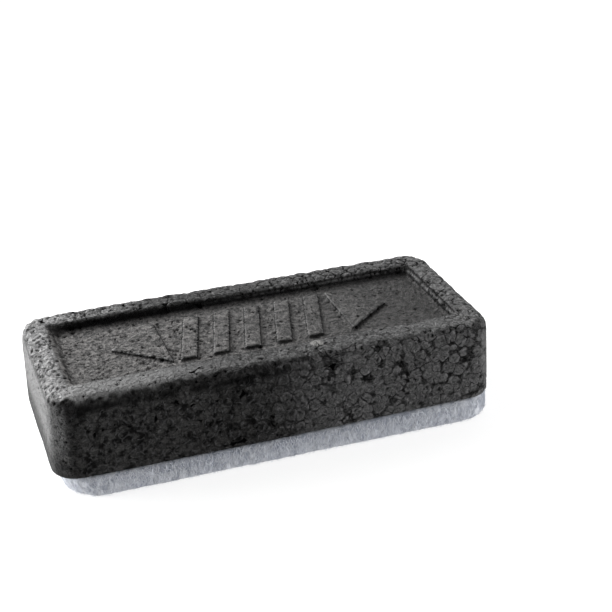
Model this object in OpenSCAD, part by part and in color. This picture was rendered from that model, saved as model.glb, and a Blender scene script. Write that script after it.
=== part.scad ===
// Whiteboard block eraser: a moulded bead-foam block with a felt wiping pad glued under it.
// Millimetres, +Z up, origin at the centre of the block's footprint, on the pad's wiping face.

/* [Foam block] */
// Length of the block at its base
block_l = 130; // [110:1:160]
// Width of the block at its base
block_w = 58; // [52:1:80]
// Height of the block alone
block_h = 24.3; // [20:0.1:40]
// Radius of the four upright corners at the base
corner_r = 8; // [6:0.5:14]
// Taper of each side, from the base to the top
draft = 0.3; // [0:0.1:1]
// Rounding of the edge around the top
top_edge_r = 3.2; // [1:0.1:4]
// Rounding of the edge around the base
base_edge_r = 0.6; // [0.5:0.1:2]

/* [Top panel] */
// Width of the rim at the two ends, measured from the base outline
rim_end = 8; // [6:0.5:11]
// Width of the rim along the two sides, measured from the base outline
rim_side = 9.3; // [7:0.1:12]
// Depth of the first step down from the rim
step_d = 1.2; // [0.6:0.1:1.8]
// Width of the narrow ledge inside the rim
ledge_w = 0.8; // [0.4:0.1:1.5]
// Full depth of the panel below the rim
panel_d = 2.6; // [2:0.1:3.5]
// Corner radius of the opening inside the rim
panel_r = 3; // [2:0.5:5]

/* [Wipe mark] */
// Overall length of the raised mark
mark_l = 84; // [66:1:88]
// Width of the raised mark, across the panel
mark_w = 26; // [12:1:30]
// Height of the mark above the panel
mark_t = 0.9; // [0.4:0.1:1.4]
// Length of each arrowhead
arrow_l = 15; // [8:1:18]
// Number of bars between the arrowheads
bar_count = 5; // [2:1:6]
// Width of each bar
bar_w = 4.6; // [3:0.1:5]
// How far the top of a bar leans towards +X
bar_lean = 7; // [0:1:9]

/* [Felt pad] */
// Length of the pad
pad_l = 128; // [105:0.5:128]
// Width of the pad
pad_w = 56.6; // [46:0.1:58]
// Thickness of the pad
pad_t = 6.5; // [4:0.1:10]
// Radius of the pad's upright corners
pad_r = 11; // [6:0.5:14]
// Rounding of the pad's upper and lower edges
pad_edge_r = 0.8; // [0.3:0.1:1.5]
// How far the pad is glued off centre along X
pad_shift_x = 1; // [0:0.1:1.7]
// How far the pad is glued off centre along Y
pad_shift_y = -0.7; // [-0.7:0.1:0.7]

/* [Adhesive] */
// Thickness of the glue film
glue_t = 0.3; // [0.2:0.05:0.6]
// How far the film stops short of the pad's edge
glue_margin = 1.6; // [1:0.1:5]

/* [Hidden] */
$fn = 96;
arc_step = 10;                                // degrees between points on a rounded edge
sink = 0.4;                                   // how far the mark is rooted in the panel
block_z = pad_t + glue_t;                     // height of the block's underside
top_z = block_z + block_h;                    // height of the rim
panel_z = top_z - panel_d;                    // height of the panel
open_l = block_l - 2 * rim_end;               // opening inside the rim
open_w = block_w - 2 * rim_side;
bars_l = mark_l - 2 * arrow_l;                // room for the bars between the arrowheads
bar_pitch = (bars_l - bar_lean) / bar_count;

// Outline of one side of a block, from its middle plane out to half width a.
function side_outline(a, h, taper, base_r, top_r) = concat(
    [[0, 0]],
    [for (t = [-90:arc_step:0]) [a - base_r + base_r * cos(t), base_r + base_r * sin(t)]],
    [for (t = [0:arc_step:90]) [a - taper - top_r + top_r * cos(t), h - top_r + top_r * sin(t)]],
    [[0, h]]
);

// Quarter of a rounded upright corner, turned about the corner's own axis.
module corner(r, h, taper, base_r, top_r)
    rotate_extrude(angle = 90)
        polygon(side_outline(r, h, taper, base_r, top_r));

// Straight run along +X of a half section that reaches out to +Y.
module run(length, a, h, taper, base_r, top_r)
    rotate([90, 0, 90])
        linear_extrude(length)
            polygon(side_outline(a, h, taper, base_r, top_r));

// Slab with rounded upright corners, rounded upper and lower edges and tapered sides.
module rounded_slab(l, w, h, r, taper, base_r, top_r) {
    flat_l = l - 2 * r;
    flat_w = w - 2 * r;
    for (side = [0, 1]) {
        mirror([0, side, 0])
            translate([-flat_l / 2, 0, 0])
                run(flat_l, w / 2, h, taper, base_r, top_r);
        rotate(90 + 180 * side)
            translate([-flat_w / 2, flat_l / 2, 0])
                run(flat_w, r, h, taper, base_r, top_r);
    }
    for (sx = [0, 1], sy = [0, 1])
        mirror([sx, 0, 0])
            mirror([0, sy, 0])
                translate([flat_l / 2, flat_w / 2, 0])
                    corner(r, h, taper, base_r, top_r);
}

// Flat plate with rounded corners.
module plate(l, w, r, t)
    linear_extrude(t) {
        square([l - 2 * r, w], center = true);
        square([l, w - 2 * r], center = true);
        for (sx = [-1, 1], sy = [-1, 1])
            translate([sx * (l / 2 - r), sy * (w / 2 - r)])
                circle(r);
    }

// Stepped opening inside the rim, from the panel up to just above the block.
module panel_opening() {
    clear = 1;
    translate([0, 0, top_z - step_d])
        plate(open_l, open_w, panel_r, step_d + clear);
    translate([0, 0, panel_z])
        plate(open_l - 2 * ledge_w, open_w - 2 * ledge_w, panel_r - ledge_w, panel_d);
}

// One arrowhead that points along +X, with its tip at x = 0.
module arrowhead()
    polygon([[0, 0], [-arrow_l, mark_w / 2], [-arrow_l, -mark_w / 2]]);

// One leaning bar that starts at x = 0.
module bar()
    polygon([
        [0, -mark_w / 2],
        [bar_w, -mark_w / 2],
        [bar_w + bar_lean, mark_w / 2],
        [bar_lean, mark_w / 2]
    ]);

// Generic two-way mark that shows the wiping direction.
module wipe_mark()
    translate([0, 0, panel_z - sink])
        linear_extrude(sink + mark_t) {
            translate([mark_l / 2, 0])
                arrowhead();
            translate([-mark_l / 2, 0])
                mirror([1, 0])
                    arrowhead();
            for (i = [0:bar_count - 1])
                translate([-bars_l / 2 + (i + 0.5) * bar_pitch - bar_w / 2, 0])
                    bar();
        }

module foam_block()
    color("#3d3d40") {
        difference() {
            translate([0, 0, block_z])
                rounded_slab(block_l, block_w, block_h, corner_r, draft, base_edge_r, top_edge_r);
            panel_opening();
        }
        wipe_mark();
    }

module adhesive_film()
    color("#d9cfae")
        translate([pad_shift_x, pad_shift_y, pad_t])
            plate(
                pad_l - 2 * glue_margin,
                pad_w - 2 * glue_margin,
                pad_r - glue_margin,
                glue_t
            );

module felt_pad()
    color("#bcc2cb")
        translate([pad_shift_x, pad_shift_y, 0])
            rounded_slab(pad_l, pad_w, pad_t, pad_r, 0, pad_edge_r, pad_edge_r);

foam_block();
adhesive_film();
felt_pad();
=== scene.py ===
"""Looks of the whiteboard block eraser: its bead-foam block, glue film and felt pad."""
import math
from types import SimpleNamespace

import bmesh
import bpy
import numpy as np
from mathutils import Euler, Matrix, Vector, kdtree, noise


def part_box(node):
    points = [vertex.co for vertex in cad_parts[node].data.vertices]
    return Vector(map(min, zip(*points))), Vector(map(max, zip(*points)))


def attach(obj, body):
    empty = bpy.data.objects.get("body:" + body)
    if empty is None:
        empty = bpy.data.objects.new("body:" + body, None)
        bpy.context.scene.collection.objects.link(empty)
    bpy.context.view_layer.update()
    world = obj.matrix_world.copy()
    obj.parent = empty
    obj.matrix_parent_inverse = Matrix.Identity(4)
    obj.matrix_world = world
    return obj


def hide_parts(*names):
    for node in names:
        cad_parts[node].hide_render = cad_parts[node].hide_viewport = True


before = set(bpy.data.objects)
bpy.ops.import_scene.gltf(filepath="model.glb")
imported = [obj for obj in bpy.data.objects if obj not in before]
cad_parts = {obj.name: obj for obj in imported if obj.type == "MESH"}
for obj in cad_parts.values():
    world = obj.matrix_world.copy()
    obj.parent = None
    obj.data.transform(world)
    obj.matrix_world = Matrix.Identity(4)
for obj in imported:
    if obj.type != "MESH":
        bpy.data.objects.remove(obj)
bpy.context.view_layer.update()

MM = 0.001
SEED = 20545

# Sizes of the block that the frame's boxes don't give, in millimetres, as part.scad has them.
RIM_END = 8.0
RIM_SIDE = 9.3
LEDGE_DEPTH = 1.2

# Width of the faces that the foam and the felt are meshed with, in millimetres.
FOAM_GRAIN = 0.43
FELT_GRAIN = 0.5

# The moulded beads: how many there are along each axis, and their sizes in millimetres.
BEADS = np.array([43, 19, 8])
BEAD_SIZE = 3.03
BEAD_R = 2.55
BEAD_SCATTER = 0.9
PINHOLES = 1000
PINHOLE_R = (0.22, 0.5)

# From the left end, the share of the length over which the beads on the sides become whole and are painted
# paler, as painted light from the right.
WHOLE_BEADS = (0.4, 0.67)

# The parts of the foam's surface that its material tells apart. "hole" marks the pinholes and
# "along" runs from 0 at the left end to 1 at the right. "shaded" and "wall" carry painted shade,
# "crest" painted highlights and "ends" painted light.
FOAM_MASKS = (
    "panel", "rim", "ends", "crest", "along", "pale",
    "hole", "back", "calm", "outer", "shaded", "wall",
)

# One bead on the front rim is paler than the rest. Its place is from the block's middle.
PALE_BEAD = (12.7, -21.8)
PALE_BEAD_R = 1.9

# The seam between the foam and the felt rises by this many millimetres towards the right end.
LIFT = 0.6

# The pad is cut in by TAPER millimetres at the foot of its left end, and its right end stands
# out by STRETCH.
TAPER = 1.7
STRETCH = 0.35

# The felt's loose fibres, in millimetres, and the straight parts that each one is made of.
FIBRE_COUNT = 6000
FIBRE_LENGTH = 4.5
FIBRE_R = 0.04
FIBRE_PARTS = 4

block_low, block_high = (np.array(corner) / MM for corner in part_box("foam_block"))
pad_low, pad_high = (np.array(corner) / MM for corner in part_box("felt_pad"))
block_half = (block_high - block_low)[:2] / 2
block_middle = (block_high + block_low)[:2] / 2
open_half = block_half - np.array([RIM_END, RIM_SIDE])
rng = np.random.default_rng(SEED)


# ---------------------------------------------------------------- small tools

def smooth(low, high, value):
    """0 below low, 1 above high, and an S curve between them."""
    t = np.clip((value - low) / (high - low), 0.0, 1.0)
    return t * t * (3.0 - 2.0 * t)


def hump(centre, width, value):
    """A bell of height 1 at centre."""
    return np.exp(-(((value - centre) / width) ** 2))


def link(obj):
    bpy.context.scene.collection.objects.link(obj)
    return obj


def points_of(mesh):
    flat = np.empty(len(mesh.vertices) * 3, np.float32)
    mesh.vertices.foreach_get("co", flat)
    return flat.reshape(-1, 3).astype(float) / MM


def normals_of(mesh):
    flat = np.empty(len(mesh.vertices) * 3, np.float32)
    mesh.vertex_normals.foreach_get("vector", flat)
    return flat.reshape(-1, 3).astype(float)


def set_points(mesh, points):
    mesh.vertices.foreach_set("co", (points * MM).astype(np.float32).ravel())
    mesh.update()


def put(mesh, name, values):
    """Stores one number or vector for each vertex, for the materials to read."""
    values = np.asarray(values, np.float32)
    kind, field = ("FLOAT", "value") if values.ndim == 1 else ("FLOAT_VECTOR", "vector")
    mesh.attributes.new(name, kind, "POINT").data.foreach_set(field, values.ravel())


def wobble(points, size, seed):
    """A smooth random number from -1 to 1 at each point, in waves size millimetres long."""
    shift = Vector((seed * 17.3, seed * 5.9, seed * 11.7))
    return np.array([noise.noise(Vector(p) / size + shift) for p in points])


def even_copy(node, name, grain):
    """A closed copy of a CAD node, with even faces about grain millimetres wide."""
    obj = link(bpy.data.objects.new(name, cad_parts[node].data.copy()))
    shape = bmesh.new()
    shape.from_mesh(obj.data)
    bmesh.ops.remove_doubles(shape, verts=shape.verts, dist=0.001 * MM)
    shape.to_mesh(obj.data)
    shape.free()
    even = obj.modifiers.new("even", "REMESH")
    even.mode = "VOXEL"
    even.voxel_size = grain * MM
    bake_modifiers(obj)
    obj.data.polygons.foreach_set("use_smooth", [True] * len(obj.data.polygons))
    obj.data.materials.clear()
    return obj


def evened(mesh, values):
    """The mean of the neighbours' values at each vertex."""
    pairs = np.empty(len(mesh.edges) * 2, np.int32)
    mesh.edges.foreach_get("vertices", pairs)
    first, second = pairs.reshape(-1, 2).T
    total = np.empty_like(values)
    for axis in range(values.shape[1]):
        total[:, axis] = np.bincount(first, values[second, axis], len(values))
        total[:, axis] += np.bincount(second, values[first, axis], len(values))
    return total / np.bincount(pairs, minlength=len(values))[:, None]


def soften(mesh, share, rounds):
    """Rounds off the edges. share says how much of the rounding each vertex takes."""
    points = points_of(mesh)
    for _ in range(rounds):
        points += 0.6 * share[:, None] * (evened(mesh, points) - points)
    set_points(mesh, points)


def crests(mesh):
    """How far each vertex stands out from its neighbours, in millimetres."""
    points = points_of(mesh)
    return np.sum((points - evened(mesh, points)) * normals_of(mesh), axis=1)


def bake_modifiers(obj):
    """Makes the object's modifiers part of its mesh."""
    graph = bpy.context.evaluated_depsgraph_get()
    mesh = bpy.data.meshes.new_from_object(obj.evaluated_get(graph), depsgraph=graph)
    obj.modifiers.clear()
    old = obj.data
    obj.data = mesh
    bpy.data.meshes.remove(old)
    mesh.name = obj.name


# ---------------------------------------------------------------- material tools

class Paint:
    """One material and its nodes. Every method adds a node and returns its output."""

    def __init__(self, name):
        self.material = bpy.data.materials.new(name)
        self.material.use_nodes = True
        self.tree = self.material.node_tree
        self.shader = self.tree.nodes["Principled BSDF"]

    def add(self, kind, output=0, settings=None, **inputs):
        node = self.tree.nodes.new(kind)
        for name, value in (settings or {}).items():
            setattr(node, name, value)
        for name, value in inputs.items():
            self.feed(node, name, value)
        return node.outputs[output]

    def feed(self, node, name, value):
        key = int(name[1:]) if name[1:].isdigit() else name.replace("_", " ")
        socket = node.inputs[key]
        if isinstance(value, bpy.types.NodeSocket):
            self.tree.links.new(value, socket)
        else:
            socket.default_value = value

    def calc(self, operation, first, second=0.0, third=0.0):
        return self.add(
            "ShaderNodeMath", 0, {"operation": operation}, i0=first, i1=second, i2=third
        )

    def times(self, first, second):
        return self.calc("MULTIPLY", first, second)

    def attribute(self, name, output="Fac"):
        return self.add("ShaderNodeAttribute", output, {"attribute_name": name})

    def place(self, scale=(1.0, 1.0, 1.0)):
        """The object's own position, in units of 1 / scale millimetres."""
        where = self.add("ShaderNodeTexCoord", "Object")
        size = tuple(s / MM for s in scale)
        return self.add("ShaderNodeMapping", 0, {"vector_type": "POINT"}, Vector=where, Scale=size)

    def noise(self, where, scale=1.0, detail=3.0, roughness=0.55, distortion=0.0):
        return self.add(
            "ShaderNodeTexNoise", 0, Vector=where, Scale=scale, Detail=detail,
            Roughness=roughness, Distortion=distortion,
        )

    def voronoi(self, where, feature, output, scale=1.0):
        return self.add(
            "ShaderNodeTexVoronoi", output, {"feature": feature}, Vector=where, Scale=scale,
            Randomness=BEAD_SCATTER,
        )

    def ramp(self, value, low, high, start=0.0, end=1.0):
        """start below low, end above high, and an S curve between them."""
        return self.add(
            "ShaderNodeMapRange", 0, {"interpolation_type": "SMOOTHSTEP"}, Value=value,
            i1=low, i2=high, i3=start, i4=end,
        )

    def blend(self, share, first, second, kind="MIX"):
        return self.add(
            "ShaderNodeMix", 2, {"data_type": "RGBA", "blend_type": kind, "clamp_factor": True},
            i0=share, i6=first, i7=second,
        )

    def bump(self, height, strength, distance, normal=None):
        inputs = {"Height": height, "Strength": strength, "Distance": distance * MM}
        if normal is not None:
            inputs["Normal"] = normal
        return self.add("ShaderNodeBump", 0, **inputs)

    def finish(self, **inputs):
        for name, value in inputs.items():
            self.feed(self.shader, name, value)
        return self.material


def grey(value, tint=(1.0, 1.0, 1.0)):
    return (value * tint[0], value * tint[1], value * tint[2], 1.0)


# ---------------------------------------------------------------- bead foam

def bead_cells(obj):
    """Distance to the bead's edge and middle, in millimetres, and a random number for each bead.

    The cells come from the same Voronoi pattern that the foam material uses, so the two line up.
    """
    tree = bpy.data.node_groups.new("bead_cells", "GeometryNodeTree")
    tree.interface.new_socket("Geometry", in_out="INPUT", socket_type="NodeSocketGeometry")
    tree.interface.new_socket("Geometry", in_out="OUTPUT", socket_type="NodeSocketGeometry")
    where = tree.nodes.new("GeometryNodeInputNamedAttribute")
    where.data_type = "FLOAT_VECTOR"
    where.inputs["Name"].default_value = "bead_at"
    shape = tree.nodes.new("NodeGroupInput").outputs[0]
    wanted = (
        ("bead_edge", "DISTANCE_TO_EDGE", "Distance", "FLOAT"),
        ("bead_middle", "F1", "Distance", "FLOAT"),
        ("bead_random", "F1", "Color", "FLOAT_VECTOR"),
    )
    for name, feature, output, kind in wanted:
        cells = tree.nodes.new("ShaderNodeTexVoronoi")
        cells.feature = feature
        cells.inputs["Scale"].default_value = 1.0
        cells.inputs["Randomness"].default_value = BEAD_SCATTER
        tree.links.new(where.outputs["Attribute"], cells.inputs["Vector"])
        store = tree.nodes.new("GeometryNodeStoreNamedAttribute")
        store.data_type = kind
        store.domain = "POINT"
        store.inputs["Name"].default_value = name
        tree.links.new(shape, store.inputs["Geometry"])
        tree.links.new(cells.outputs[output], store.inputs["Value"])
        shape = store.outputs["Geometry"]
    tree.links.new(shape, tree.nodes.new("NodeGroupOutput").inputs[0])
    obj.modifiers.new("cells", "NODES").node_group = tree
    bake_modifiers(obj)
    bpy.data.node_groups.remove(tree)
    found = []
    for name, _, _, kind in wanted:
        width, field = (1, "value") if kind == "FLOAT" else (3, "vector")
        flat = np.empty(len(obj.data.vertices) * width, np.float32)
        obj.data.attributes[name].data.foreach_get(field, flat)
        found.append(flat.reshape(-1, width).astype(float))
        obj.data.attributes.remove(obj.data.attributes[name])
    edge, middle, random = found
    return edge[:, 0] * BEAD_SIZE, middle[:, 0] * BEAD_SIZE, random


def bead_places(points, panel):
    """Where each point lies among the beads, in beads.

    Each flat side runs through the middle of a layer of beads, and so does the panel.
    """
    share = (points - block_low) / (block_high - block_low)
    places = share * BEADS + 0.5
    places[:, 2] += panel * (BEADS[2] - 0.5 - places[:, 2])
    for axis in range(3):
        near = 0.16 * wobble(points, 2.1, 1 + axis)
        places[:, axis] += near + 0.3 * wobble(points, 9.0, 4 + axis)
    return places


def pinholes(points, chance):
    """1 in the middle of each small open hole of the skin, 0 away from the holes.

    chance says how likely a hole is at each point.
    """
    middles = rng.choice(len(points), PINHOLES, replace=False, p=chance / chance.sum())
    sizes = rng.uniform(*PINHOLE_R, PINHOLES)
    tree = kdtree.KDTree(PINHOLES)
    for k, index in enumerate(middles):
        tree.insert(points[index], k)
    tree.balance()
    found = np.zeros(len(points))
    for k, point in enumerate(points):
        _, nearest, far = tree.find(point)
        found[k] = 1.0 - far / sizes[nearest]
    return smooth(-0.4, 0.5, found)


def places_on_block(points):
    """Where each point is, in millimetres from the block's middle, its sides, its top and base."""
    at = SimpleNamespace()
    at.x, at.y = (points[:, :2] - block_middle).T
    at.from_left = at.x + block_half[0]
    at.from_front = block_half[1] + at.y
    at.from_back = block_half[1] - at.y
    at.depth = block_high[2] - points[:, 2]
    at.height = points[:, 2] - block_low[2]
    at.in_ends = open_half[0] - np.abs(at.x)
    at.in_sides = open_half[1] - np.abs(at.y)
    at.inside = np.minimum(at.in_ends, at.in_sides)
    return at


def lifted(x):
    """How far the seam above the felt has risen at x."""
    return LIFT * smooth(-5.0, 55.0, x)


def round_top(mesh):
    """Rounds off the upper edges, most at the left end and at the back."""
    at = places_on_block(points_of(mesh))
    high = smooth(6.0, 3.0, at.depth)
    at_left = smooth(14.0, 11.0, at.from_left)
    at_back = smooth(12.0, 10.0, at.from_back)
    in_panel = at.inside > 2.0
    share = 0.1 + 0.9 * np.maximum(at_left, 0.6 * at_back)
    soften(mesh, high * np.where(in_panel, 0.05, share), 24)
    soften(mesh, high * at_left * ~in_panel, 30)


def opening_masks(mask, mesh, at, normals, coarse):
    """The recessed panel and the wall round it, the crests of its edges and its shaded slopes, with
    painted shade on the walls and slopes and painted highlights on the crests.
    """
    high = smooth(6.0, 3.0, at.depth)
    flat = smooth(0.55, 0.85, normals[:, 2])
    left_recess_end = smooth(13.0, 10.0, at.from_left) * smooth(20.0, 16.0, at.y)
    mask.recess = smooth(-1.2, -0.2, at.inside) * high
    mask.panel = smooth(-0.2, 0.9, at.inside) * high * flat
    mask.panel = np.maximum(mask.panel, mask.recess * left_recess_end)

    # The wall mask is painted shade: the recess walls are painted near black, except at the left end,
    # where the panel's colour runs over the wall and a broken crease of painted shade lies at its foot.
    crease = hump(0.9, 0.45, at.in_ends) * left_recess_end * smooth(0.0, 1.0, at.in_sides)
    crease *= smooth(-0.3, 0.1, wobble(points_of(mesh), 3.0, 33))
    mask.wall = np.maximum(mask.recess * (1.0 - flat) * (1.0 - left_recess_end), 0.7 * crease)
    # Along the ledge the painted wall shade is broken off in pieces, and the crest mask gives it a faint
    # painted highlight.
    ledge = hump(LEDGE_DEPTH, 0.35, at.depth) * mask.recess
    ledge *= smooth(-0.5, 0.2, coarse) * smooth(-25.0, 35.0, at.x)
    mask.wall *= 1.0 - 0.8 * ledge

    # The crest mask is painted highlight on the convex edges of the recess and the raised mark.
    mask.crest = smooth(0.02, 0.1, crests(mesh)) * smooth(0.0, 1.0, at.inside) * high
    mask.crest = np.maximum(mask.crest * smooth(-0.35, 0.0, coarse), 0.15 * ledge)
    mask.crest *= 1.0 - left_recess_end

    # Painted shade on slopes that face the front, and a painted shadow on the panel along the back wall.
    slope = normals
    for _ in range(3):
        slope = evened(mesh, slope)
    to_back_wall = open_half[1] - at.y
    mask.shaded = smooth(0.08, 0.45, -slope[:, 1]) * smooth(1.5, 2.5, at.inside)
    behind = 0.85 * smooth(7.0, 0.8, to_back_wall) * smooth(-0.2, 0.3, at.inside)
    mask.shaded = np.maximum(mask.shaded, behind)

    mask.pale = np.hypot(at.x - PALE_BEAD[0], at.y - PALE_BEAD[1]) / PALE_BEAD_R
    mask.pale = smooth(1.1, 0.8, mask.pale) * high


def outside_masks(mask, at, normals, lumps):
    """The rim, its calm and its outer parts, the ends, the underside and the front's brow."""
    turned = np.abs(normals[:, 0])
    mask.along = (at.x / block_half[0] + 1.0) / 2.0 + 0.05 * lumps
    mask.right = smooth(*WHOLE_BEADS, mask.along)
    mask.left_tip = smooth(9.0, 5.0, at.from_left)
    mask.back = smooth(10.0, 16.0, at.from_front)
    mask.under = smooth(-0.4, -0.9, normals[:, 2])
    mask.corner = hump(0.6, 0.25, turned)

    mask.calm = smooth(0.5, 0.15, mask.along) * smooth(10.0, -5.0, at.y)
    mask.calm *= (1.0 - smooth(-0.2, 0.9, at.inside)) * smooth(5.0, 10.0, at.from_left)
    low = 0.4 + 0.22 * mask.calm - 0.1 * mask.right
    forward = smooth(low, low + 0.3, -normals[:, 1] + 0.35 * lumps)
    mask.brow = forward * smooth(5.0, 2.5, at.depth - 0.8 * lumps)

    foot = 4.2 - 1.6 * mask.left_tip
    mask.rim = smooth(foot, foot - 2.6 + 1.2 * mask.left_tip, at.depth) * (1.0 - mask.recess)
    mask.rim *= 1.0 - forward * (1.0 - 0.2 * mask.right)
    mask.outer = smooth(0.35, 0.7, turned) * smooth(4.5, 3.0, at.depth)
    mask.outer *= (1.0 - mask.recess) * (1.0 - 0.8 * mask.left_tip)

    # The ends mask is painted light: the end faces are painted paler, standing in for the side lamps
    # glancing off them, with none near the top edge and less towards the base.
    mask.ends = 0.5 * smooth(0.3, 0.6, turned) + 0.5 * smooth(0.8, 0.95, turned)
    mask.ends = np.maximum(mask.ends, smooth(0.66, 0.85, normals[:, 0])) * (1.0 - mask.recess)
    head = 2.5 - 1.1 * mask.left_tip
    mask.ends *= smooth(head, head + 3.0 - 1.2 * mask.left_tip, at.depth)
    mask.ends *= 0.25 + 0.75 * smooth(3.0, 14.0, at.height)


def hole_chance(mask):
    """How likely a pinhole is at each vertex."""
    chance = 1.0 - np.maximum(mask.under, 0.9 * mask.ends)
    chance *= 1.0 + 5.0 * mask.rim * smooth(0.4, 0.1, mask.along)
    chance *= 1.0 - 0.85 * mask.calm
    return chance * (1.0 + 2.0 * mask.panel * smooth(0.6, 0.3, mask.along))


def foam_relief(mask, at, edge, middle, random, lumps, billows):
    """How far the surface stands out at each vertex, in millimetres."""
    round_edge = np.minimum(edge, BEAD_R - middle)
    dome = np.sqrt(np.clip(round_edge, 0.0, 1.0)) - 0.8
    ridge = hump(0.35, 0.28, round_edge)
    hollow = smooth(0.5, 1.2, round_edge)
    pit = smooth(0.0, -0.25, round_edge + 0.2 * mask.panel + 0.12 * mask.right)
    groove = hump(0.0, 0.2, edge)
    stand = random[:, 0] - 0.5

    side = 0.05 * ridge - 0.04 * hollow - 0.06 * groove - 0.45 * pit + 0.06 * stand
    side += mask.right * (1.0 - mask.ends) * (0.18 * dome - 0.08 * groove + 0.1 * lumps)
    side += 0.2 * mask.corner * (1.0 - mask.rim) * (1.0 - mask.right) * dome

    rear = smooth(12.0, 9.0, at.from_back)
    bump_edge = np.minimum(edge, 1.4 + 0.5 * random[:, 0] - middle)
    bump = np.sqrt(np.clip((bump_edge + 0.3) / 1.2, 0.0, 1.0)) - 0.8
    rim = (0.18 + 0.15 * rear * smooth(0.2, 0.45, mask.along)) * bump
    rim += -0.5 * pit + 0.12 * stand + 0.12 * lumps
    rim += 0.6 * mask.left_tip * (billows - 0.2)
    rim = rim * (1.0 - 0.7 * mask.calm) + 0.3 * rear

    panel = 0.02 * ridge - 0.20 * pit + 0.05 * stand + 0.12 * lumps
    relief = side * (1.0 - 0.5 * mask.ends)
    relief = relief * (1.0 - mask.rim) + rim * mask.rim
    relief = relief * (1.0 - mask.panel) + panel * mask.panel
    relief += 0.2 * mask.pale
    return relief * (1.0 - 0.8 * mask.under) - 0.5 * mask.hole


def foam_block():
    obj = even_copy("foam_block", "foam_beads", FOAM_GRAIN)
    round_top(obj.data)
    points = points_of(obj.data)
    normals = normals_of(obj.data)
    at = places_on_block(points)
    lumps = wobble(points, 1.9, 31)
    mask = SimpleNamespace()
    opening_masks(mask, obj.data, at, normals, wobble(points, 1.2, 32))
    outside_masks(mask, at, normals, lumps)
    mask.hole = pinholes(points, hole_chance(mask)) * (1.0 - mask.pale)

    put(obj.data, "bead_at", bead_places(points, mask.panel))
    edge, middle, random = bead_cells(obj)
    # Painted shade: dark patches and a dark band below the front's upper edge, on the left part of the
    # length, joined to the painted wall shade.
    shade_blots = hump(3.5, 1.4, at.depth - 0.6 * lumps) * smooth(0.6, 0.85, -normals[:, 1])
    shade_blots *= smooth(0.25, 0.5, random[:, 1])
    shadow = np.maximum(0.35 * mask.brow, shade_blots) * smooth(0.62, 0.45, mask.along)
    mask.wall = np.maximum(mask.wall * (1.0 - mask.crest), shadow)
    for name in FOAM_MASKS:
        put(obj.data, name, getattr(mask, name))

    relief = foam_relief(mask, at, edge, middle, random, lumps, np.abs(wobble(points, 1.7, 34)))
    sag = 0.16 * wobble(points, 24.0, 7) + 0.05 * wobble(points, 7.0, 8)
    points = points + normals * (relief + sag * (1.0 - mask.under))[:, None]
    points[:, 2] += lifted(at.x) * smooth(8.0, 0.0, at.height)
    set_points(obj.data, points)
    obj.data.materials.append(foam_material())
    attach(obj, "root")
    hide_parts("foam_block")


def foam_patterns(paint):
    """The masks, noises and bead cells that the foam's colours are made from."""
    look = SimpleNamespace()
    for name in FOAM_MASKS:
        setattr(look, name, paint.attribute(name))
    look.right = paint.ramp(look.along, *WHOLE_BEADS)
    look.off_panel = paint.calc("SUBTRACT", 1.0, paint.times(look.panel, 0.9))
    look.skin = paint.noise(paint.place(), 1.7, 3.0, 0.6)
    look.grain = paint.noise(paint.place(), 0.8, 3.0, 0.6)
    look.blotch = paint.noise(paint.place(), 0.5, 3.0, 0.6)
    look.streak = paint.noise(paint.place((0.5, 0.9, 1.5)), 1.0, 3.0, 0.6, 1.5)

    at = paint.attribute("bead_at", "Vector")
    look.edge = paint.times(paint.voronoi(at, "DISTANCE_TO_EDGE", "Distance"), BEAD_SIZE)
    look.middle = paint.times(paint.voronoi(at, "F1", "Distance"), BEAD_SIZE)
    look.shade = paint.add("ShaderNodeSeparateColor", 0, Color=paint.voronoi(at, "F1", "Color"))
    bubble_r = paint.calc("MULTIPLY_ADD", look.shade, 0.5, 1.4)
    look.bubble = paint.add(
        "ShaderNodeMath", 0, {"operation": "SMOOTH_MIN"}, i0=look.edge,
        i1=paint.calc("SUBTRACT", bubble_r, look.middle), i2=0.3,
    )
    off_ring = paint.calc("ABSOLUTE", paint.calc("SUBTRACT", look.bubble, 0.1))
    ring = paint.ramp(off_ring, 0.08, 0.34, 1.0, 0.0)
    look.ring = paint.times(ring, paint.ramp(look.grain, 0.42, 0.6))
    return look


def foam_gaps(paint, look):
    """The pits, cracks and pinholes between the beads."""
    crack = paint.times(paint.ramp(look.edge, 0.0, 0.2, 1.0, 0.0), paint.ramp(look.blotch, 0.48, 0.58))
    crack = paint.times(crack, paint.ramp(look.along, 0.3, 0.67, 0.3, 1.0))
    crack = paint.times(crack, paint.calc("MULTIPLY_ADD", look.ends, -0.8, 1.0))
    crack = paint.times(crack, look.off_panel)
    round_edge = paint.calc("MINIMUM", look.edge, paint.calc("SUBTRACT", BEAD_R, look.middle))
    round_edge = paint.calc("MULTIPLY_ADD", look.panel, 0.2, round_edge)
    round_edge = paint.calc("MULTIPLY_ADD", look.right, 0.12, round_edge)
    pit = paint.ramp(round_edge, -0.15, 0.05, 1.0, 0.0)
    return paint.calc("MAXIMUM", paint.calc("MAXIMUM", pit, crack), look.hole)


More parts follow.
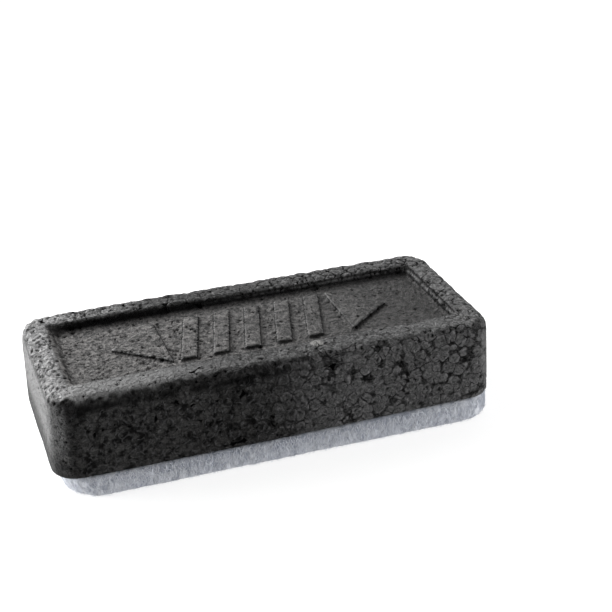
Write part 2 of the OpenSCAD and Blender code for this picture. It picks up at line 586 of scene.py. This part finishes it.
def side_colour(paint, look):
    """Dark blotched beads at the left, and whole beads with paler arcs at the right, which are painted
    paler as painted light from the right.
    """
    streak, blotch, grain = look.streak, look.blotch, look.grain
    colour = paint.blend(look.shade, grey(0.014), grey(0.032, (1.0, 0.985, 0.965)))
    stroke = grey(0.058, (1.0, 0.98, 0.96))
    colour = paint.blend(paint.ramp(streak, 0.46, 0.66, 0.0, 0.6), colour, stroke)
    colour = paint.blend(paint.ramp(blotch, 0.36, 0.58, 0.95, 0.0), colour, grey(0.001))

    arc = paint.blend(paint.ramp(grain, 0.4, 0.6), grey(0.09), grey(0.23, (1.0, 0.985, 1.0)))
    core = paint.blend(paint.ramp(look.skin, 0.36, 0.64), grey(0.04), grey(0.13))
    whole = paint.blend(paint.ramp(look.bubble, 0.2, 0.65), arc, core)
    loose = paint.calc("ADD", look.bubble, paint.calc("MULTIPLY_ADD", grain, 1.2, -0.6))
    whole = paint.blend(paint.ramp(loose, -0.45, 0.0), grey(0.004), whole)
    whole = paint.blend(paint.times(look.shade, 0.5), whole, grey(0.06))
    whole = paint.blend(paint.ramp(streak, 0.45, 0.62, 0.0, 0.5), whole, grey(0.16))
    whole = paint.blend(paint.ramp(blotch, 0.36, 0.5, 0.4, 0.0), whole, grey(0.015))
    seam = paint.times(paint.ramp(look.edge, 0.0, 0.15, 1.0, 0.0), paint.ramp(grain, 0.48, 0.6))
    whole = paint.blend(seam, whole, grey(0.002))
    colour = paint.blend(paint.times(look.right, 0.8), colour, whole)

    ring_share = paint.times(look.off_panel, paint.ramp(look.along, 0.1, 0.5, 0.35, 0.7))
    ring_share = paint.times(look.ring, ring_share)
    right_ring = grey(0.15, (1.0, 0.985, 1.0))
    ring_colour = paint.blend(look.right, grey(0.08, (0.98, 0.98, 1.0)), right_ring)
    return paint.blend(ring_share, colour, ring_colour)


def rim_colour(paint, look):
    """Puffed beads with dark splits, even on the calm front rim. The rim is painted much paler than the
    sides as painted light from above, palest at the left end, paler again at the right end and darker on
    its outer edges.
    """
    tip = paint.ramp(look.along, 0.0, 0.12, 0.13, 0.0)
    split = paint.calc("ADD", look.blotch, paint.times(tip, 0.5))
    split = paint.times(paint.ramp(look.edge, 0.0, 0.45, 1.0, 0.0), paint.ramp(split, 0.4, 0.6))
    gap = paint.times(paint.ramp(look.bubble, -0.4, -0.05, 1.0, 0.0), paint.ramp(tip, 0.0, 0.13))
    split = paint.calc("MAXIMUM", split, gap)
    split = paint.times(split, paint.calc("MULTIPLY_ADD", look.back, 0.75, 0.25))
    coarse = paint.ramp(look.grain, 0.38, 0.6, 0.4, 1.0)
    uneven = paint.times(coarse, paint.ramp(look.skin, 0.38, 0.6, 0.5, 1.0))
    puff = paint.times(paint.calc("SUBTRACT", 1.0, split), uneven)
    plain = paint.calc("MULTIPLY_ADD", look.grain, 0.5, 0.5)
    evenness = paint.ramp(look.along, 0.06, 0.12, 0.6, 0.0)
    evenness = paint.calc("MAXIMUM", paint.times(look.calm, 0.8), evenness)
    puff = paint.add("ShaderNodeMix", 0, {"data_type": "FLOAT"}, i0=evenness, i2=puff, i3=plain)

    bright = paint.blend(paint.ramp(look.along, 0.02, 0.35), grey(0.38), grey(0.13))
    bright = paint.blend(paint.ramp(look.along, 0.7, 0.95), bright, grey(0.19))
    bright = paint.blend(paint.times(look.outer, 0.35), bright, grey(0.1))
    bright = paint.blend(paint.times(look.calm, 0.9), bright, grey(0.14))
    return paint.blend(puff, grey(0.008), bright)


def panel_colour(paint, look):
    """Fine warm speckle, painted paler than the sides as painted light from above, with painted shade that
    darkens it towards the right.
    """
    speckle = paint.calc("MULTIPLY_ADD", look.grain, 0.45, paint.times(look.skin, 0.3))
    speckle = paint.calc("MULTIPLY_ADD", look.blotch, 0.25, speckle)
    warm = grey(0.16, (1.0, 0.97, 0.95))
    colour = paint.blend(paint.ramp(speckle, 0.4, 0.62), grey(0.035), warm)
    return paint.blend(paint.ramp(look.along, 0.25, 0.95, 0.0, 0.7), colour, grey(0.02))


def foam_material():
    paint = Paint("charcoal_bead_foam")
    look = foam_patterns(paint)
    dark = foam_gaps(paint, look)
    colour = side_colour(paint, look)
    # The rim, ends and panel layers are painted paler as painted light, shaded and wall are painted shade
    # and painted shadow, and crest is painted highlight; the pale bead and the dark pits are the foam's
    # own colour.
    layers = (
        (look.rim, 0.8, rim_colour(paint, look)),
        (look.ends, 0.8, grey(0.21)),
        (look.panel, 0.9, panel_colour(paint, look)),
        (look.shaded, 0.8, grey(0.004)),
        (look.wall, 0.9, grey(0.002)),
        (look.crest, 0.85, grey(0.4)),
        (look.pale, 1.0, grey(0.2, (1.0, 0.99, 0.96))),
        (dark, 1.0, grey(0.001)),
    )
    for where, share, layer in layers:
        colour = paint.blend(paint.times(where, share), colour, layer)

    rough = paint.calc("MAXIMUM", paint.ramp(look.grain, 0.3, 0.7, 0.45, 0.65), dark)
    height = paint.calc("MULTIPLY_ADD", dark, -2.5, paint.times(look.ring, look.off_panel))
    strength = paint.calc("MULTIPLY_ADD", look.calm, -0.6, 1.0)
    normal = paint.bump(height, 1.0, 0.25)
    normal = paint.bump(look.grain, strength, 2.5, normal)
    normal = paint.bump(look.skin, strength, 1.0, normal)
    return paint.finish(
        Base_Color=colour, Roughness=rough, Normal=normal, IOR=1.12, Specular_IOR_Level=0.25
    )


# ---------------------------------------------------------------- felt pad

def felt_pad():
    obj = even_copy("felt_pad", "felt_body", FELT_GRAIN)
    points = points_of(obj.data)
    normals = normals_of(obj.data)
    z = points[:, 2]
    height = pad_high[2] - pad_low[2]
    beside = smooth(0.9, 0.4, np.abs(normals[:, 2]))
    under = smooth(-0.5, -0.9, normals[:, 2])
    bulge = 0.25 * (1.0 - ((z - pad_low[2]) / height * 2.0 - 1.0) ** 2) * beside
    lumps = 0.16 * wobble(points, 2.4, 21) + 0.10 * wobble(points, 1.1, 22)
    lumps += 0.12 * wobble(points, 12.0, 23)
    move = bulge + lumps * (1.0 - 0.6 * under) - 0.12 * under
    taper = TAPER * (1.0 - (z - pad_low[2]) / height).clip(0.0, 1.0) ** 1.3
    taper *= smooth(pad_low[0] + 12.0, pad_low[0] + 3.0, points[:, 0])
    points[:, 0] += taper + STRETCH * smooth(pad_high[0] - 12.0, pad_high[0] - 3.0, points[:, 0])
    points[:, 2] += lifted(points[:, 0]) * smooth(pad_low[2], pad_high[2], z)
    set_points(obj.data, points + normals * move[:, None])
    obj.data.materials.append(felt_material())
    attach(obj, "root")
    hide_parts("felt_pad")
    return obj


def fibre(start, outward, along, length, lift):
    """Middle line of one fibre that wanders over the surface and lifts a little off it."""
    across = outward.cross(along).normalized()
    bend = rng.normal(0.0, 0.9)
    line = []
    for k in range(FIBRE_PARTS + 1):
        t = k / FIBRE_PARTS
        turn = bend * (t - 0.5)
        step = along * math.cos(turn) + across * math.sin(turn)
        rise = lift * math.sin(math.pi * t) + 0.02
        point = start + step * (length * (t - 0.5)) + outward * rise
        point.z = min(max(point.z, pad_low[2] - 0.1), pad_high[2])
        line.append(point)
    return line


def thread(shape, line, outward, across):
    """Adds a thin three-sided tube along the line, narrower at its two ends."""
    loops = []
    for k, centre in enumerate(line):
        r = FIBRE_R * (0.35 if k in (0, FIBRE_PARTS) else 1.0)
        loops.append([
            shape.verts.new((centre + (across * math.cos(a) + outward * math.sin(a)) * r) * MM)
            for a in (0.0, math.tau / 3, 2 * math.tau / 3)
        ])
    for before, after in zip(loops, loops[1:]):
        for k in range(3):
            shape.faces.new((before[k], before[(k + 1) % 3], after[(k + 1) % 3], after[k]))
    shape.faces.new(loops[0][::-1])
    shape.faces.new(loops[-1])


def felt_fibres(pad):
    """Loose fibres that lie on the pad's sides and wiping face."""
    polygons = pad.data.polygons
    areas = np.empty(len(polygons), np.float32)
    polygons.foreach_get("area", areas)
    facing = np.empty(len(polygons) * 3, np.float32)
    polygons.foreach_get("normal", facing)
    facing = facing.reshape(-1, 3)
    weight = areas * np.where(np.abs(facing[:, 2]) < 0.7, 2.2, 0.55) * (facing[:, 2] < 0.9)
    chosen = rng.choice(len(polygons), FIBRE_COUNT, p=weight / weight.sum())
    shape = bmesh.new()
    for index in chosen:
        face = polygons[int(index)]
        outward = Vector(face.normal)
        flat = abs(outward.z) > 0.7
        level = Vector((1.0, 0.0, 0.0)) if flat else Vector((0.0, 0.0, 1.0)).cross(outward)
        turn = rng.uniform(0.0, math.tau) if flat else rng.normal(0.0, 0.5)
        along = Matrix.Rotation(turn, 3, outward) @ level.cross(outward).normalized()
        lift = abs(rng.normal(0.0, 0.10)) * (0.3 if outward.z < -0.7 else 1.0)
        length = rng.uniform(0.4, 1.0) * FIBRE_LENGTH
        line = fibre(Vector(face.center) / MM, outward, along, length, lift)
        thread(shape, line, outward, outward.cross(along).normalized())
    obj = link(bpy.data.objects.new("felt_fibres", bpy.data.meshes.new("felt_fibres")))
    shape.to_mesh(obj.data)
    shape.free()
    obj.data.materials.append(fibre_material())
    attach(obj, "root")


def shaded_behind(paint, colour):
    """The colour, darker on the far side of the pad, where the key light falls on it."""
    across = paint.add("ShaderNodeSeparateXYZ", 1, Vector=paint.place())
    return paint.blend(paint.ramp(across, 18.0, 27.0, 0.0, 0.7), colour, (0.05, 0.06, 0.08, 1.0))


def felt_material():
    paint = Paint("felt")
    even = paint.place()
    tufts = paint.noise(even, 0.55, 4.0, 0.6, 0.6)
    patches = paint.noise(even, 0.12, 2.0, 0.5)
    streaks = paint.noise(paint.place((2.6, 2.6, 0.5)), 1.0, 3.0, 0.6, 0.8)
    slanted = paint.noise(paint.place((2.0, 2.0, 0.8)), 1.0, 3.0, 0.6, 1.5)
    hairs = paint.calc("MAXIMUM", streaks, slanted)
    deep, pale = (0.15, 0.165, 0.20, 1.0), (0.42, 0.43, 0.46, 1.0)
    colour = paint.blend(paint.ramp(tufts, 0.36, 0.62), deep, pale)
    colour = paint.blend(paint.ramp(hairs, 0.45, 0.75, 0.0, 0.6), colour, (0.66, 0.68, 0.72, 1.0))
    colour = paint.blend(paint.ramp(patches, 0.35, 0.65, 0.0, 0.35), colour, (0.28, 0.30, 0.36, 1.0))
    height = paint.add("ShaderNodeSeparateXYZ", 2, Vector=even)
    off_middle = paint.calc("ABSOLUTE", paint.add("ShaderNodeSeparateXYZ", 0, Vector=even))
    # Painted shade: the felt is darker towards its top, under the foam block, most in the middle of its
    # length.
    painted_shade = paint.times(paint.ramp(height, 0.5, 6.5), paint.ramp(off_middle, 30.0, 62.0, 0.5, 0.2))
    colour = paint.blend(painted_shade, colour, (0.035, 0.045, 0.065, 1.0))
    colour = shaded_behind(paint, colour)
    normal = paint.bump(tufts, 0.8, 0.5)
    normal = paint.bump(hairs, 0.8, 0.25, normal)
    return paint.finish(
        Base_Color=colour, Roughness=0.95, Normal=normal, Sheen_Weight=0.25, Sheen_Roughness=0.6
    )


def fibre_material():
    paint = Paint("felt_fibre")
    shade = paint.noise(paint.place(), 0.8, 2.0)
    colour = paint.blend(shade, (0.36, 0.38, 0.43, 1.0), (0.66, 0.68, 0.72, 1.0))
    return paint.finish(Base_Color=shaded_behind(paint, colour), Roughness=0.8)


# ---------------------------------------------------------------- glue film

def glue_material():
    paint = Paint("hot_melt_glue")
    cloud = paint.noise(paint.place(), 0.4, 4.0, 0.6)
    colour = paint.blend(cloud, (0.42, 0.38, 0.27, 1.0), (0.62, 0.57, 0.42, 1.0))
    normal = paint.bump(cloud, 0.4, 0.15)
    return paint.finish(Base_Color=colour, Roughness=paint.ramp(cloud, 0.3, 0.7, 0.3, 0.5), Normal=normal)


def glue_film():
    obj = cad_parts["adhesive_film"]
    obj.data.materials.clear()
    obj.data.materials.append(glue_material())


# ---------------------------------------------------------------- stage, light and camera

def floor():
    """A plain pale sheet that gives off most of its own brightness, so shadows on it stay faint."""
    mesh = bpy.data.meshes.new("floor")
    reach = 3.0
    corners = [(-reach, -reach, 0), (reach, -reach, 0), (reach, reach, 0), (-reach, reach, 0)]
    mesh.from_pydata(corners, [], [(0, 1, 2, 3)])
    obj = link(bpy.data.objects.new("floor", mesh))
    obj.location.z = -0.2 * MM
    paint = Paint("pale_floor")
    white = (1.0, 1.0, 1.0, 1.0)
    mesh.materials.append(
        paint.finish(Base_Color=grey(0.25), Roughness=0.8, Emission_Color=white, Emission_Strength=0.75)
    )


def softbox(name, azimuth, elevation, distance, size, power):
    """A square area light that faces the object. Azimuth 0 is in front and 90 is at the right."""
    light = bpy.data.lights.new(name, "AREA")
    light.shape = "SQUARE"
    light.size = size
    light.energy = power
    obj = link(bpy.data.objects.new(name, light))
    turn, rise = math.radians(azimuth), math.radians(elevation)
    away = Vector((math.sin(turn) * math.cos(rise), -math.cos(turn) * math.cos(rise), math.sin(rise)))
    obj.location = away * distance
    obj.rotation_euler = away.to_track_quat("Z", "Y").to_euler()


def studio():
    """Soft light from the left, above and the right, in a room that is pale behind and darker in front."""
    world = bpy.data.worlds.new("studio")
    bpy.context.scene.world = world
    world.use_nodes = True
    tree = world.node_tree
    where = tree.nodes.new("ShaderNodeTexCoord").outputs["Generated"]
    split = tree.nodes.new("ShaderNodeSeparateXYZ")
    tree.links.new(where, split.inputs[0])
    fade = tree.nodes.new("ShaderNodeMapRange")
    fade.interpolation_type = "SMOOTHSTEP"
    fade.inputs["From Min"].default_value = -0.5
    fade.inputs["From Max"].default_value = 0.5
    fade.inputs["To Min"].default_value = 0.25
    fade.inputs["To Max"].default_value = 1.1
    tree.links.new(split.outputs["Y"], fade.inputs["Value"])
    sky = tree.nodes["Background"]
    sky.inputs["Color"].default_value = (1.0, 1.0, 1.0, 1.0)
    tree.links.new(fade.outputs[0], sky.inputs["Strength"])
    softbox("key_softbox", -145, 36, 0.5, 0.25, 6.5)
    softbox("left_softbox", -105, 15, 0.6, 0.4, 8)
    softbox("right_softbox", 60, 18, 0.6, 0.3, 3.2)
    bpy.context.scene.view_settings.view_transform = "Standard"


def camera():
    """From the left of the front, looking down at the top panel."""
    data = bpy.data.cameras.new("camera")
    data.sensor_width = 36.0
    data.lens = 81.0
    obj = link(bpy.data.objects.new("camera", data))
    turn, rise, tilt = math.radians(17.53), math.radians(24.91), math.radians(-2.41)
    forward = Vector((math.sin(turn) * math.cos(rise), math.cos(turn) * math.cos(rise), -math.sin(rise)))
    aim = Vector((17.5, 2.2, 31.3)) * MM
    obj.location = aim - forward * 0.4099
    level = forward.to_track_quat("-Z", "Y")
    obj.rotation_euler = (level.to_matrix() @ Euler((0.0, 0.0, tilt)).to_matrix()).to_euler()
    bpy.context.scene.camera = obj


camera()
studio()
floor()
foam_block()
glue_film()
felt_fibres(felt_pad())
